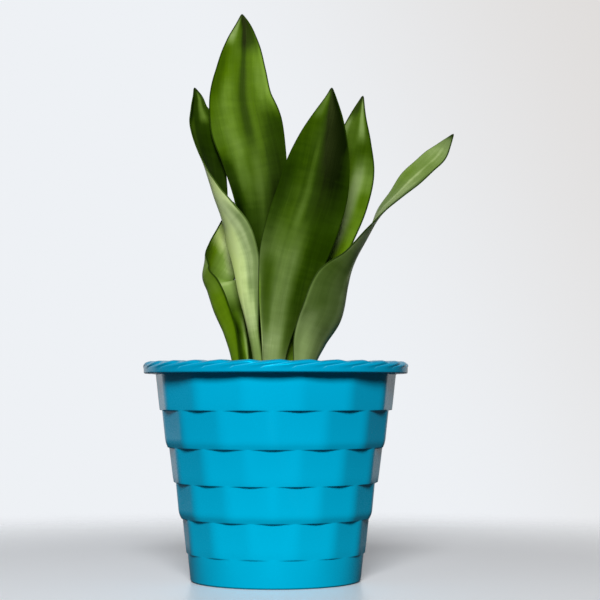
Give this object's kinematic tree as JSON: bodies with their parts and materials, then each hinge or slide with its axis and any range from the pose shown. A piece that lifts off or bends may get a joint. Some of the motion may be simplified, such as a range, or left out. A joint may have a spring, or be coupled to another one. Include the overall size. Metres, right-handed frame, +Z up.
{
  "type": "potted snake plant",
  "caption": "Upright snake plant with broad, pointed, channelled and twisted leaves in a faceted blue plastic pot with a rolled, ridged rim.",
  "frame": {"origin": "centre of the pot's underside, on the surface that it stands on", "axes": "+Z up along the pot's axis, -Y towards the front, +X to the right as seen from the front"},
  "size_m": [0.2219, 0.1902, 0.4141],
  "materials": {
    "blue_plastic": "semi-gloss moulded plastic, bright cyan blue",
    "soil": "dark brown potting soil of bark, peat and grit",
    "leaf_mid_green": "waxy leaf, mid green with darker lengthwise bands and a dark margin",
    "leaf_pale_green": "waxy leaf, pale yellow green outside and dark green inside",
    "leaf_dark_green": "waxy leaf, dark green with a pale lengthwise band and a pale base",
    "leaf_grey_green": "waxy leaf, grey olive outside and light mottled green inside",
    "leaf_olive_green": "waxy leaf, olive green outside and grey green inside"
  },
  "bodies": {
    "root": {"pot": "blue_plastic", "soil": "soil", "leaf_back_tall": "leaf_mid_green", "leaf_left_twisted": "leaf_pale_green", "leaf_front_centre": "leaf_dark_green", "leaf_back_right": "leaf_mid_green", "leaf_right_reaching": "leaf_grey_green", "leaf_left_channelled": "leaf_olive_green"}
  },
  "joints": []
}
